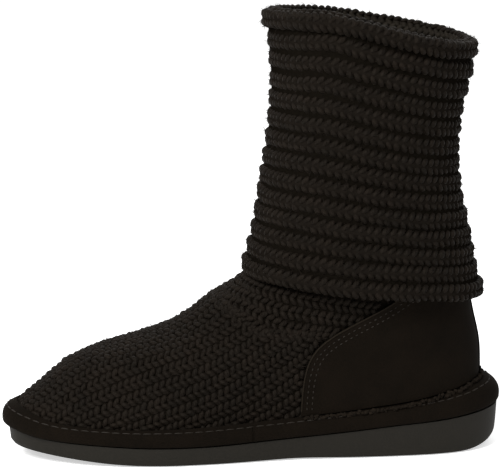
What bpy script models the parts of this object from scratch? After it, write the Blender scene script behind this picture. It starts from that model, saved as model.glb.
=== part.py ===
# A knitted sweater boot for the right foot: a moulded sole, a padded suede rand, a knitted upper,
# a suede heel counter with its back stay, a ribbed knitted shaft that is folded down over the ankle,
# and a footbed. The toe points to -X, the inner side of the foot faces -Y and the sole stands on Z = 0.

from collections import namedtuple
from math import cos, pi, sin

import bmesh
import bpy
from mathutils import Vector

# Driving sizes, in metres.
LENGTH = 0.2665
BALL_WIDTH = 0.100
ANKLE_HEIGHT = 0.110
COLLAR_HEIGHT = 0.2345
COLLAR_DROP = 0.0125
COLLAR_SAG = 0.0095
HEM_HEIGHT = 0.0945
HEM_DROP = 0.0125
SOLE_FORE = 0.0100
SOLE_HEEL = 0.0206
TOE_SPRING = 0.0074
HEEL_LIFT = 0.0085
ARCH_LIFT = 0.0006
FOOT_ROUND = 0.0024
SIDE_LEAN = 0.0012
SIDE_SEAT = 0.0004
TOE_INSET = 0.0022
RAND_HEIGHT = 0.0095
RAND_BULGE = 0.0011
UPPER_WALL = 0.0030
COUNTER_WALL = 0.0018
STAY_WALL = 0.0012
STAY_WIDTH = 0.0160
CUFF_WALL = 0.0030
LINING_WALL = 0.0026
FOLD_GAP = 0.0008
RIB_COUNT = 16
RIB_DEPTH = 0.0014
FOOTBED_THICKNESS = 0.0050
GROOVE_WIDTH = 0.0022
GROOVE_DEPTH = 0.0018
GROOVE_PITCH = 0.0085
GROOVE_MARGIN = 0.0090

# Clearances between pieces that meet.
SEAT = 0.0003
SKIN_GAP = 0.0006

# The share of the lining's height in which it spreads from the ankle to the inside of the cuff.
LINING_FREE = 0.40

# The share of its length over which the collar stays level, and how it falls behind that.
COLLAR_LEVEL = 0.25
COLLAR_CURVE = 1.12

# How finely the round forms are faceted.
FOOT_COLUMNS = 48
SHAFT_COLUMNS = 32
COUNTER_COLUMNS = 28

Station = namedtuple("Station", "along width centre")
Ring = namedtuple("Ring", "rise front back fore middle rear nose seat")
Band = namedtuple("Band", "along height")
Hoop = namedtuple("Hoop", "rise front back half")
Edge = namedtuple("Edge", "rise along")
Crown = namedtuple("Crown", "out up")
Line = namedtuple("Line", "along climb")

# The plan of the sole: along is a share of the length from the toe, width (half of it) and centre
# are shares of the ball width. The toe and the centre line swing to the inner side.
SOLE_PLAN = [
    Station(0.00, 0.500, -0.110),
    Station(0.12, 0.505, -0.055),
    Station(0.24, 0.516, -0.012),
    Station(0.33, 0.508, 0.008),
    Station(0.41, 0.480, 0.018),
    Station(0.50, 0.437, 0.021),
    Station(0.60, 0.399, 0.018),
    Station(0.74, 0.390, 0.006),
    Station(0.88, 0.405, 0.000),
    Station(1.00, 0.410, 0.000),
]
TOE_ROUND = 2.15
HEEL_ROUND = 2.8

# Level rings of the upper, from the feather line to the ankle. Rise is a share of the height between
# them. Front and back are shares of the length. Fore, middle and rear are half widths, as shares of
# the ball width. Nose and seat say how square the front and back ends are.
UPPER_RINGS = [
    Ring(0.000, 0.0300, 0.950, 0.440, 0.334, 0.352, 2.25, 3.0),
    Ring(0.080, 0.0220, 0.951, 0.450, 0.338, 0.354, 2.25, 3.0),
    Ring(0.150, 0.0290, 0.952, 0.450, 0.340, 0.356, 2.25, 2.9),
    Ring(0.215, 0.0520, 0.952, 0.442, 0.342, 0.358, 2.20, 2.8),
    Ring(0.311, 0.0910, 0.952, 0.424, 0.342, 0.360, 2.15, 2.7),
    Ring(0.375, 0.1150, 0.952, 0.410, 0.344, 0.360, 2.10, 2.6),
    Ring(0.440, 0.1620, 0.951, 0.394, 0.345, 0.360, 2.10, 2.6),
    Ring(0.504, 0.2570, 0.948, 0.374, 0.348, 0.360, 2.10, 2.5),
    Ring(0.567, 0.3280, 0.942, 0.356, 0.352, 0.360, 2.10, 2.5),
    Ring(0.631, 0.3715, 0.936, 0.346, 0.360, 0.361, 2.05, 2.4),
    Ring(0.695, 0.3945, 0.931, 0.346, 0.368, 0.364, 2.05, 2.4),
    Ring(0.759, 0.4385, 0.926, 0.360, 0.380, 0.370, 2.05, 2.3),
    Ring(0.815, 0.4720, 0.921, 0.376, 0.392, 0.379, 2.05, 2.3),
    Ring(0.845, 0.4900, 0.919, 0.380, 0.396, 0.382, 2.05, 2.3),
    Ring(0.920, 0.5050, 0.914, 0.394, 0.408, 0.398, 2.05, 2.2),
    Ring(1.000, 0.5170, 0.908, 0.402, 0.414, 0.404, 2.05, 2.2),
]
FORE_STATION = 0.24
MIDDLE_STATION = 0.61
REAR_STATION = 0.87
LEVEL_RISE = 0.40

# The sole's upper line along its length: climb is a share of the way from the sole's height at the
# ball to its height at the heel.
SOLE_LINE = [
    Line(0.00, 0.70),
    Line(0.03, 0.53),
    Line(0.07, 0.34),
    Line(0.14, 0.19),
    Line(0.21, 0.10),
    Line(0.30, 0.00),
    Line(0.40, 0.00),
    Line(0.49, 0.10),
    Line(0.59, 0.24),
    Line(0.69, 0.45),
    Line(0.78, 0.68),
    Line(0.87, 0.84),
    Line(0.95, 1.08),
    Line(1.00, 1.34),
]
TOE_LIFT_SHARE = 0.27
BACK_LIFT_SHARE = 0.09
TOE_INSET_SHARE = 0.16

# The height of the rand along the boot, as a share of its height at the ball.
RAND_BANDS = [
    Band(0.000, 1.24),
    Band(0.035, 1.15),
    Band(0.090, 0.92),
    Band(0.170, 0.86),
    Band(0.310, 0.94),
    Band(0.600, 1.00),
    Band(0.800, 1.10),
    Band(0.920, 1.34),
    Band(1.000, 1.54),
]
# The rounded outside of the rand, from its foot to its top inner edge. Out is the share of the way
# from the upper to the sole's edge, and up the share of the rand's height.
RAND_CROWN = [
    Crown(0.96, 0.00),
    Crown(1.00, 0.18),
    Crown(1.00, 0.42),
    Crown(0.90, 0.64),
    Crown(0.62, 0.84),
    Crown(0.12, 0.98),
]

# Hoops of the folded shaft, from its hem to its collar, through the tops of its ribs.
SHAFT_HOOPS = [
    Hoop(0.00, 0.4715, 0.9760, 0.502),
    Hoop(0.06, 0.4770, 0.9640, 0.494),
    Hoop(0.12, 0.4880, 0.9550, 0.486),
    Hoop(0.23, 0.4985, 0.9440, 0.478),
    Hoop(0.35, 0.5085, 0.9300, 0.472),
    Hoop(0.46, 0.5185, 0.9160, 0.468),
    Hoop(0.58, 0.5270, 0.9148, 0.470),
    Hoop(0.67, 0.5305, 0.9155, 0.476),
    Hoop(0.76, 0.5345, 0.9225, 0.485),
    Hoop(0.85, 0.5306, 0.9365, 0.500),
    Hoop(0.93, 0.5200, 0.9480, 0.513),
    Hoop(1.00, 0.5186, 0.9430, 0.516),
]
SHAFT_SQUARENESS = 2.15

# The front edge of the heel counter: rise as for the upper, along as a share of the length.
COUNTER_EDGE = [
    Edge(0.00, 0.585),
    Edge(0.23, 0.588),
    Edge(0.36, 0.594),
    Edge(0.46, 0.606),
    Edge(0.53, 0.630),
    Edge(0.60, 0.672),
    Edge(0.66, 0.718),
    Edge(0.72, 0.760),
    Edge(0.80, 0.800),
]
COUNTER_TOP = 0.80
STAY_TOP = 0.78

# The first and last grooves of the tread, as shares of the length.
TREAD_PATCHES = [(0.16, 0.47), (0.74, 0.93)]


def steps(count):
    """Shares from 0 to 1 at both ends, count intervals apart."""
    return [i / count for i in range(count + 1)]


def smooth_between(rows, share, column, key="along"):
    """A column of a table at a share, on a curve that goes through its rows and never overshoots."""
    keys = [getattr(row, key) for row in rows]
    values = [getattr(row, column) for row in rows]
    if share <= keys[0]:
        return values[0]
    if share >= keys[-1]:
        return values[-1]
    slopes = [(b - a) / (q - p) for a, b, p, q in zip(values, values[1:], keys, keys[1:])]
    tangents = [slopes[0]]
    for before, after in zip(slopes, slopes[1:]):
        level = before * after <= 0
        tangents.append(0.0 if level else 2 * before * after / (before + after))
    tangents.append(slopes[-1])
    i = max(n for n, k in enumerate(keys[:-1]) if k <= share)
    run = keys[i + 1] - keys[i]
    t = (share - keys[i]) / run
    return (
        values[i] * (1 + 2 * t) * (1 - t) ** 2
        + tangents[i] * run * t * (1 - t) ** 2
        + values[i + 1] * t * t * (3 - 2 * t)
        + tangents[i + 1] * run * t * t * (t - 1)
    )


def along_x(share):
    """The X of a share of the length, from the toe to the heel."""
    return (share - 0.5) * LENGTH


def share_of(x):
    return min(1.0, max(0.0, x / LENGTH + 0.5))


def end_round(u, front, back):
    """How wide an outline with rounded ends is at the share u of its own length."""
    reach = abs(1 - 2 * u)
    power = front if u < 0.5 else back
    return max(0.0, 1 - reach**power) ** (1 / power)


def side_of(theta):
    """The inner side of the foot is -Y, and comes first as theta grows from the toe."""
    return -1.0 if theta < pi else 1.0


def sole_edge(theta, out=0.0):
    """A point of the sole's plan outline, moved out from it by a distance."""

    def plain(angle):
        u = (1 - cos(angle)) / 2
        half = smooth_between(SOLE_PLAN, u, "width") * end_round(u, TOE_ROUND, HEEL_ROUND)
        y = smooth_between(SOLE_PLAN, u, "centre") + side_of(angle % (2 * pi)) * half
        return Vector((along_x(u), y * BALL_WIDTH, 0.0))

    return moved_out(plain, theta, out)


def moved_out(curve, theta, out):
    """curve(theta) moved along its level normal. The curves here run toe, -Y, heel, +Y."""
    here = curve(theta)
    if out == 0.0:
        return here
    small = 0.02
    run = curve(theta + small) - curve(theta - small)
    normal = Vector((run.y, -run.x, 0.0)).normalized()
    return here + out * normal


def sole_top(x):
    """The height of the sole's upper face, which turns up at the toe and climbs to the heel."""
    climb = smooth_between(SOLE_LINE, share_of(x), "climb")
    return SOLE_FORE + (SOLE_HEEL - SOLE_FORE) * climb


def sole_bottom(x):
    """The tread's height: flat under the ball and the heel, lifted at the toe, the arch and the back."""
    u = share_of(x)
    toe = max(0.0, 1 - u / TOE_LIFT_SHARE)
    back = max(0.0, 1 - (1 - u) / BACK_LIFT_SHARE)
    arch = max(0.0, 1 - abs(u - 0.58) / 0.10)
    return TOE_SPRING * toe**1.3 + HEEL_LIFT * back * back + ARCH_LIFT * arch * arch * (3 - 2 * arch)


def upper_point(theta, rise, out=0.0):
    """A point of the upper's outer surface, moved out level by a distance."""
    front, back, fore, middle, rear, nose, seat = (
        smooth_between(UPPER_RINGS, rise, column, "rise")
        for column in ("front", "back", "fore", "middle", "rear", "nose", "seat")
    )
    widths = [
        Station(0.0, fore, 0.0),
        Station(FORE_STATION, fore, 0.0),
        Station(MIDDLE_STATION, middle, 0.0),
        Station(REAR_STATION, rear, 0.0),
        Station(1.0, rear, 0.0),
    ]

    def ring(angle):
        u = (1 - cos(angle)) / 2
        share = front + (back - front) * u
        half = smooth_between(widths, u, "width") * end_round(u, nose, seat)
        centre = smooth_between(SOLE_PLAN, share, "centre") * (1 - rise)
        return Vector((along_x(share), (centre + side_of(angle % (2 * pi)) * half) * BALL_WIDTH, 0.0))

    point = moved_out(ring, theta, out)
    low = SOLE_FORE + SEAT
    settle = max(0.0, 1 - rise / LEVEL_RISE)
    point.z = low + rise * (ANKLE_HEIGHT - low) + (sole_top(point.x) - SOLE_FORE) * settle
    return point


def rise_at(theta, height, out=0.0):
    """The rise at which the upper reaches a height."""
    low, high = 0.0, 1.0
    for _ in range(24):
        rise = (low + high) / 2
        if upper_point(theta, rise, out).z < height:
            low = rise
        else:
            high = rise
    return (low + high) / 2


def hem_height(u):
    """The height of the folded shaft's hem at a share of its own length, lowest behind the middle."""
    return HEM_HEIGHT - HEM_DROP * u**0.75


def collar_height(theta):
    """The height of the collar, which is level at the front, falls to the back and sags on the inner side."""
    u = (1 - cos(theta)) / 2
    fall = max(0.0, (u - COLLAR_LEVEL) / (1 - COLLAR_LEVEL))
    sag = COLLAR_SAG * ((1 + sin(theta)) / 2) ** 2
    return COLLAR_HEIGHT - COLLAR_DROP * fall**COLLAR_CURVE - sag * fall


def shaft_point(theta, rise, deep=0.0):
    """A point of the folded shaft, deep inside the tops of its ribs."""
    front, back, half = (
        smooth_between(SHAFT_HOOPS, rise, column, "rise") for column in ("front", "back", "half")
    )

    def hoop(angle):
        u = (1 - cos(angle)) / 2
        wide = half * end_round(u, SHAFT_SQUARENESS, SHAFT_SQUARENESS) * BALL_WIDTH
        return Vector((along_x(front + (back - front) * u), side_of(angle % (2 * pi)) * wide, 0.0))

    point = moved_out(hoop, theta, -deep)
    u = (1 - cos(theta)) / 2
    point.z = hem_height(u) + rise * (collar_height(theta) - hem_height(u))
    return point


def angles(count, first=0.0, last=2 * pi):
    """Angles spaced half a step off the toe, so that the middle of an outline's end is a facet."""
    step = (last - first) / count
    return [first + (i + 0.5) * step for i in range(count)]


def material(name, colour, roughness):
    """A plain finish in the piece's own colour."""
    made = bpy.data.materials.new(name)
    made.use_nodes = True
    shader = made.node_tree.nodes["Principled BSDF"]
    shader.inputs["Base Color"].default_value = (*colour, 1.0)
    shader.inputs["Roughness"].default_value = roughness
    shader.inputs["Metallic"].default_value = 0.0
    return made


def add_piece(name, mesh, finish):
    """The finished bmesh as a named object, with its faces pointing out and shaded smooth."""
    bmesh.ops.recalc_face_normals(mesh, faces=mesh.faces)
    data = bpy.data.meshes.new(name)
    mesh.to_mesh(data)
    mesh.free()
    data.materials.append(finish)
    data.shade_smooth()
    data.set_sharp_from_angle(angle=pi / 5)
    piece = bpy.data.objects.new(name, data)
    bpy.context.collection.objects.link(piece)
    return piece


def skin(mesh, loops, wrap_loops, wrap_rows):
    """Faces between rows of points. Returns the rows of vertices."""
    rows = [[mesh.verts.new(point) for point in loop] for loop in loops]
    pairs = list(zip(rows, rows[1:] + rows[:1])) if wrap_loops else list(zip(rows, rows[1:]))
    for low, high in pairs:
        count = len(low) if wrap_rows else len(low) - 1
        for i in range(count):
            j = (i + 1) % len(low)
            mesh.faces.new((low[i], low[j], high[j], high[i]))
    return rows


def ladder(mesh, row):
    """Closes an outline with rungs straight across it, from one side to the other."""
    count = len(row)
    for i in range(count // 2 - 1):
        mesh.faces.new((row[i], row[i + 1], row[count - 2 - i], row[count - 1 - i]))


def surface_normals(loops):
    """The outward normal at each point of rows that run round the boot, from the bottom up."""
    made = []
    for r, loop in enumerate(loops):
        below, above = loops[max(0, r - 1)], loops[min(len(loops) - 1, r + 1)]
        count = len(loop)
        normals = []
        for i in range(count):
            round_run = loop[(i + 1) % count] - loop[i - 1]
            up_run = above[i] - below[i]
            normals.append(round_run.cross(up_run).normalized())
        made.append(normals)
    return made


def sole(finish):
    """The moulded sole: a rounded foot edge, a straight side, and flat treads under ball and heel."""
    mesh = bmesh.new()
    rounds = angles(FOOT_COLUMNS + 16)
    loops = []
    for inset, lift in ((1.0, 0.0), (0.3, 0.3), (0.0, 1.0)):
        loop = []
        for theta in rounds:
            tuck = SIDE_LEAN + inset * FOOT_ROUND + (1 + inset) * toe_tuck(theta)
            point = sole_edge(theta, -tuck)
            point.z = sole_bottom(point.x) + lift * FOOT_ROUND
            loop.append(point)
        loops.append(loop)
    top = []
    for theta in rounds:
        point = sole_edge(theta, -SIDE_SEAT - toe_tuck(theta))
        point.z = sole_top(point.x)
        top.append(point)
    loops.append(top)
    rows = skin(mesh, loops, False, True)
    ladder(mesh, rows[0])
    ladder(mesh, rows[-1])
    piece = add_piece("outsole", mesh, finish)
    cut_tread(piece)
    return piece


def toe_tuck(theta):
    """How far the sole's side is set back under the rand round the toe."""
    u = (1 - cos(theta)) / 2
    return TOE_INSET * max(0.0, 1 - u / TOE_INSET_SHARE)


def cut_tread(piece):
    """Cross grooves moulded into the flat treads, which stop short of the sole's edge."""
    mesh = bmesh.new()
    for first, last in TREAD_PATCHES:
        count = int((last - first) * LENGTH / GROOVE_PITCH)
        for n in range(count + 1):
            x = along_x((first + last) / 2) + (n - count / 2) * GROOVE_PITCH
            u = share_of(x)
            half = smooth_between(SOLE_PLAN, u, "width") * end_round(u, TOE_ROUND, HEEL_ROUND)
            centre = smooth_between(SOLE_PLAN, u, "centre") * BALL_WIDTH
            long = 2 * (half * BALL_WIDTH - GROOVE_MARGIN)
            if long < 4 * GROOVE_WIDTH:
                continue
            made = bmesh.ops.create_cube(mesh, size=1.0)["verts"]
            bmesh.ops.scale(mesh, vec=(GROOVE_WIDTH, long, 2 * GROOVE_DEPTH), verts=made)
            bmesh.ops.translate(mesh, vec=(x, centre, sole_bottom(x)), verts=made)
    data = bpy.data.meshes.new("tread_cutter")
    mesh.to_mesh(data)
    mesh.free()
    cutter = bpy.data.objects.new("tread_cutter", data)
    bpy.context.collection.objects.link(cutter)
    cutter.hide_render = True
    cutter.display_type = "WIRE"
    cut = piece.modifiers.new("tread", "BOOLEAN")
    cut.operation = "DIFFERENCE"
    cut.object = cutter


def rand(finish):
    """The padded suede band that closes the joint between upper and sole."""
    mesh = bmesh.new()
    rounds = angles(FOOT_COLUMNS)
    inner_ups = (0.80, 0.60, 0.40, 0.20, 0.0)
    columns = []
    for theta in rounds:
        edge = sole_edge(theta)
        foot = sole_top(edge.x) + SEAT
        tall = RAND_HEIGHT * smooth_between(RAND_BANDS, share_of(edge.x), "height")
        column = []
        for crown in RAND_CROWN:
            height = foot + crown.up * tall
            inner = upper_point(theta, rise_at(theta, height), SKIN_GAP)
            outer = sole_edge(theta, RAND_BULGE)
            point = inner.lerp(outer, crown.out)
            point.z = height
            column.append(point)
        top = upper_point(theta, rise_at(theta, foot + 0.97 * tall), SKIN_GAP)
        top.z = foot + 0.97 * tall
        column.append(top)
        for up in inner_ups:
            height = foot + up * tall
            inner = upper_point(theta, rise_at(theta, height), SKIN_GAP)
            inner.z = height
            column.append(inner)
        columns.append(column)
    skin(mesh, columns, True, True)
    return add_piece("rand", mesh, finish)


def upper(finish):
    """The knitted foot: one hollow wall, open at the ankle and underneath."""
    mesh = bmesh.new()
    rounds = angles(FOOT_COLUMNS)
    levels = sorted({ring.rise for ring in UPPER_RINGS} | {0.040, 0.115, 0.182, 0.262})
    outer = [[upper_point(theta, rise) for theta in rounds] for rise in levels]
    normals = surface_normals(outer)
    inner = []
    for r, loop in enumerate(outer):
        shifted = []
        for point, normal in zip(loop, normals[r]):
            if r in (0, len(outer) - 1):
                normal = Vector((normal.x, normal.y, 0.0)).normalized()
            shifted.append(point - UPPER_WALL * normal)
        inner.append(shifted)
    skin(mesh, outer + inner[::-1], True, True)
    return add_piece("upper", mesh, finish)


def counter_corner(rise):
    """The angle at which the front edge of the heel counter crosses a ring of the upper."""
    wanted = along_x(smooth_between(COUNTER_EDGE, rise, "along", "rise"))
    low, high = 0.0, pi
    for _ in range(24):
        middle = (low + high) / 2
        if upper_point(middle, rise).x < wanted:
            low = middle
        else:
            high = middle
    return (low + high) / 2


def counter_levels(theta, count):
    """Rises from just above the rand to the top of the counter."""
    edge = sole_edge(theta)
    tall = RAND_HEIGHT * smooth_between(RAND_BANDS, share_of(edge.x), "height")
    low = rise_at(theta, sole_top(edge.x) + SEAT + tall + SEAT)
    return [low + (COUNTER_TOP - low) * t for t in steps(count)]


def heel_counter(finish):
    """The suede counter that wraps the heel, laid over the upper from one side to the other."""
    mesh = bmesh.new()
    rows = 9
    inner, outer = [], []
    for n in range(rows + 1):
        t = n / rows
        low, high = [], []
        for share in steps(COUNTER_COLUMNS):
            theta = pi
            for _ in range(6):
                rise = counter_levels(theta, rows)[n]
                corner = counter_corner(rise)
                theta = corner + (2 * pi - 2 * corner) * share
            rise = counter_levels(theta, rows)[n]
            low.append(upper_point(theta, rise, SKIN_GAP))
            high.append(upper_point(theta, rise, SKIN_GAP + COUNTER_WALL))
        inner.append(low)
        outer.append(high)
    close_slab(mesh, inner, outer)
    return add_piece("heel_counter", mesh, finish)


def close_slab(mesh, inner, outer):
    """A curved slab between two patches of points, with its four edges closed."""
    low = skin(mesh, inner, False, False)
    high = skin(mesh, outer, False, False)
    last = len(low) - 1
    for i in range(len(low[0]) - 1):
        mesh.faces.new((low[0][i], low[0][i + 1], high[0][i + 1], high[0][i]))
        mesh.faces.new((low[last][i], low[last][i + 1], high[last][i + 1], high[last][i]))
    for r in range(last):
        for side in (0, -1):
            mesh.faces.new((low[r][side], low[r + 1][side], high[r + 1][side], high[r][side]))


def back_stay(finish):
    """The narrow suede strip sewn down the middle of the heel, over the counter."""
    mesh = bmesh.new()
    rows, across = 10, 4
    deep = 2 * SKIN_GAP + COUNTER_WALL
    inner, outer = [], []
    for n in range(rows + 1):
        low, high = [], []
        for share in steps(across):
            wanted = (share - 0.5) * STAY_WIDTH
            theta = pi + wanted / (0.5 * STAY_WIDTH) * 0.3
            for _ in range(12):
                levels = counter_levels(theta, rows)
                rise = levels[0] + (STAY_TOP - levels[0]) * n / rows
                here = upper_point(theta, rise, deep)
                theta += 2.0 * (wanted - here.y) / BALL_WIDTH
            levels = counter_levels(theta, rows)
            rise = levels[0] + (STAY_TOP - levels[0]) * n / rows
            low.append(upper_point(theta, rise, deep))
            high.append(upper_point(theta, rise, deep + STAY_WALL))
        inner.append(low)
        outer.append(high)
    close_slab(mesh, inner, outer)
    return add_piece("back_stay", mesh, finish)


def shaft(finish):
    """The knitted shaft: a lining up from the ankle, a fold at the collar, and a ribbed cuff down."""
    mesh = bmesh.new()
    rounds = angles(SHAFT_COLUMNS)
    whole = CUFF_WALL + FOLD_GAP + LINING_WALL
    outward = [(0.00, 1.0), (0.24, 0.22), (0.76, 0.22)]
    fold = whole / 2
    columns = []
    for theta in rounds:
        column = []
        for rib in range(RIB_COUNT):
            for phase, valley in outward:
                rise = (rib + phase) / (RIB_COUNT + 0.35)
                column.append(shaft_point(theta, rise, RIB_DEPTH * valley))
        top = collar_height(theta) - fold
        for turn in steps(6):
            angle = turn * pi
            point = shaft_point(theta, 1.0, fold - fold * cos(angle))
            point.z = top + fold * sin(angle)
            column.append(point)
        lining = CUFF_WALL + FOLD_GAP
        inside = [0.85, 0.62, 0.40, 0.22, 0.09, 0.0]
        for share in inside:
            column.append(lining_point(theta, share, top, whole, UPPER_WALL))
        for share in inside[::-1]:
            column.append(lining_point(theta, share, top, lining, 0.0))
        point = shaft_point(theta, 1.0, (CUFF_WALL + lining) / 2)
        point.z = top + 0.15 * fold
        column.append(point)
        for rise in (0.92, 0.72, 0.50, 0.30, 0.13, 0.0):
            column.append(shaft_point(theta, rise, CUFF_WALL))
        columns.append(column)
    skin(mesh, columns, True, True)
    return add_piece("shaft", mesh, finish)


def lining_point(theta, share, top, deep, wall):
    """A point of the shaft's inner layer, which stands on the upper and rises inside the cuff."""
    base = ANKLE_HEIGHT + SEAT
    height = base + (top - base) * share
    u = (1 - cos(theta)) / 2
    rise = (height - hem_height(u)) / (collar_height(theta) - hem_height(u))
    ankle = upper_point(theta, 1.0, -wall)
    free = min(1.0, share / LINING_FREE)
    point = ankle.lerp(shaft_point(theta, rise, deep), free * free * (3 - 2 * free))
    point.z = height
    return point


def footbed(finish):
    """The soft footbed that lies on the sole inside the upper."""
    mesh = bmesh.new()
    rounds = angles(FOOT_COLUMNS)
    fit = 0.0006
    loops = []
    for lift, inset in ((SEAT, 0.0), (FOOTBED_THICKNESS - 0.0012, 0.0), (FOOTBED_THICKNESS, 0.0012)):
        loop = []
        for theta in rounds:
            point = upper_point(theta, 0.0, -UPPER_WALL - fit - inset)
            point.z = sole_top(point.x) + lift
            loop.append(point)
        loops.append(loop)
    rows = skin(mesh, loops, False, True)
    ladder(mesh, rows[0])
    ladder(mesh, rows[-1])
    return add_piece("footbed", mesh, finish)


def clear_scene():
    for thing in list(bpy.data.objects):
        bpy.data.objects.remove(thing, do_unlink=True)


def main():
    clear_scene()
    rubber = material("moulded_rubber", (0.030, 0.030, 0.028), 0.62)
    suede = material("black_suede", (0.012, 0.011, 0.010), 0.95)
    knit = material("black_yarn", (0.014, 0.013, 0.012), 0.95)
    fleece = material("black_fleece", (0.016, 0.015, 0.014), 1.0)
    sole(rubber)
    rand(suede)
    upper(knit)
    heel_counter(suede)
    back_stay(suede)
    shaft(knit)
    footbed(fleece)


main()
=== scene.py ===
# %% [markdown]
# # A knitted sweater boot
#
# The boot is a foot and a folded shaft of thick black yarn on a moulded sole. A suede band goes
# round the joint with the sole, and a suede panel wraps the heel. Nearly all that the eye reads is
# stitches: soft loops in rows, with dark gaps between them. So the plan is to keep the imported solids
# as smooth, sunken backings and to lay real little loops of yarn on them, row by row.

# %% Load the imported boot
import math

import bmesh
import bpy
import numpy as np
from mathutils import Matrix, Vector, noise
from mathutils.bvhtree import BVHTree


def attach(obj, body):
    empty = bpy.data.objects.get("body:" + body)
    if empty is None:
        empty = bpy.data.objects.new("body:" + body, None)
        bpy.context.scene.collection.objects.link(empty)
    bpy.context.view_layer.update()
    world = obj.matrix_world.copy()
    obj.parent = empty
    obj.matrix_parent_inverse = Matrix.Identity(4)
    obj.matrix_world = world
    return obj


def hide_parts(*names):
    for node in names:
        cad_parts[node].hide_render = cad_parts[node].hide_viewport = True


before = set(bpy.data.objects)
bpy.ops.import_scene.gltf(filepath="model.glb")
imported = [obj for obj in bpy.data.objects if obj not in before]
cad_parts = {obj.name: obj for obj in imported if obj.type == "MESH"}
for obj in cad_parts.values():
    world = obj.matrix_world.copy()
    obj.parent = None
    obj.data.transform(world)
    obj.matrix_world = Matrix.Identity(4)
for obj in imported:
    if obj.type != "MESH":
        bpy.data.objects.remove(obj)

MM = 0.001
SCENE = bpy.context.scene
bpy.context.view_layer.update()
print("solids:", sorted(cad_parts))

# %% [markdown]
# ## Camera
#
# The boot is photographed from its inner side, a little above the floor and slightly from the front
# of square. A long lens from a metre away keeps the sole's line nearly straight.

# %% Place the camera
CAMERA_AT = Vector((-0.0711, -0.9976, 0.2730))
CAMERA_AIM = Vector((-0.00135, 0.0, 0.1142))
LENS, SENSOR_WIDTH = 136.58, 36.0
camera = bpy.data.objects.new("camera", bpy.data.cameras.new("camera"))
camera.data.lens = LENS
camera.data.sensor_width = SENSOR_WIDTH
camera.location = CAMERA_AT
camera.rotation_euler = (CAMERA_AIM - CAMERA_AT).to_track_quat("-Z", "Y").to_euler()
SCENE.collection.objects.link(camera)
SCENE.camera = camera
sight = CAMERA_AIM - CAMERA_AT
print("camera looks down by", round(math.degrees(math.asin(-sight.z / sight.length)), 1), "degrees")

# %% [markdown]
# ## Studio
#
# Black goods are shot before a white wall. About half the light is a soft surround, and the rest falls
# from one large lamp above and in front of the toe: it lights the tops of the ribs, leaves the gaps
# between them dark and shades the ankle under the hem. A weak lamp behind pales the collar's rim. To
# the camera, wall and floor are plain white; what they send to the boot is less, as in a studio where
# the backdrop is lit by lamps of its own.

# %% Light the boot and lay the floor
SCENE.view_settings.view_transform = "Standard"
WALL_SEEN, WALL_LIGHT = 1.25, 0.62
FLOOR_SEEN, FLOOR_LIGHT = 0.55, 0.05
FLOOR_REACH = 9.0
LAMP_AIM = Vector((0.0, 0.0, 0.1))
surround = bpy.data.worlds.new("white surround")
surround.use_nodes = True
backdrop = surround.node_tree.nodes["Background"]
backdrop.inputs["Color"].default_value = (1.0, 1.0, 1.0, 1.0)


def seen_or_lit(tree, seen, lit, socket):
    """Feeds a socket one strength for what the camera sees and another for what lights the boot."""
    path = tree.nodes.new("ShaderNodeLightPath")
    blend = tree.nodes.new("ShaderNodeMath")
    blend.operation = "MULTIPLY_ADD"
    blend.inputs[1].default_value = seen - lit
    blend.inputs[2].default_value = lit
    tree.links.new(path.outputs["Is Camera Ray"], blend.inputs[0])
    tree.links.new(blend.outputs[0], socket)


seen_or_lit(surround.node_tree, WALL_SEEN, WALL_LIGHT, backdrop.inputs["Strength"])
SCENE.world = surround


def softbox(name, at, size, watts):
    """A rectangular lamp turned to the middle of the boot."""
    lamp = bpy.data.objects.new(name, bpy.data.lights.new(name, "AREA"))
    lamp.data.shape = "RECTANGLE"
    lamp.data.size, lamp.data.size_y = size
    lamp.data.energy = watts
    lamp.location = at
    lamp.rotation_euler = (LAMP_AIM - Vector(at)).to_track_quat("-Z", "Y").to_euler()
    SCENE.collection.objects.link(lamp)


softbox("key", (-0.90, -1.24, 1.38), (1.0, 0.8), 43.0)
softbox("rim", (0.4, 1.2, 1.4), (1.0, 0.6), 6.0)

sweep = bmesh.new()
bmesh.ops.create_grid(sweep, x_segments=1, y_segments=1, size=FLOOR_REACH)
floor = bpy.data.objects.new("floor", bpy.data.meshes.new("floor"))
sweep.to_mesh(floor.data)
sweep.free()
SCENE.collection.objects.link(floor)

# %% [markdown]
# ## Helpers for finishes
#
# Each finish is a small node tree. Colours are written as the hex values that a colour picker
# shows, and turned to the linear values that the renderer wants. Most finishes are one noise between
# two near colours, with the same noise as their relief, so a few helpers build them all.


# %% Colour and node helpers
def shade(code):
    """A hex colour as linear red, green, blue and alpha."""
    parts = [int(code[i : i + 2], 16) / 255 for i in (1, 3, 5)]
    linear = [c / 12.92 if c <= 0.04045 else ((c + 0.055) / 1.055) ** 2.4 for c in parts]
    return (*linear, 1.0)


def add(tree, kind, inputs=None, **settings):
    """Adds a node. An input takes a value, or the output socket that feeds it."""
    made = tree.nodes.new(kind)
    for name, value in settings.items():
        setattr(made, name, value)
    for name, value in (inputs or {}).items():
        if isinstance(value, bpy.types.NodeSocket):
            tree.links.new(value, made.inputs[name])
        else:
            made.inputs[name].default_value = value
    return made


def finish_named(name, **constants):
    """A new material, its tree and its Principled shader, whose constants are set on its own sockets."""
    made = bpy.data.materials.new(name)
    made.use_nodes = True
    shader = made.node_tree.nodes["Principled BSDF"]
    for socket, value in constants.items():
        shader.inputs[socket.replace("_", " ")].default_value = value
    return made, made.node_tree, shader


def speckle(tree, scale, detail, **more):
    """Noise that stays fixed to the piece."""
    place = add(tree, "ShaderNodeTexCoord").outputs["Object"]
    inputs = {"Vector": place, "Scale": scale, "Detail": detail, **more}
    return add(tree, "ShaderNodeTexNoise", inputs).outputs["Fac"]


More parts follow.
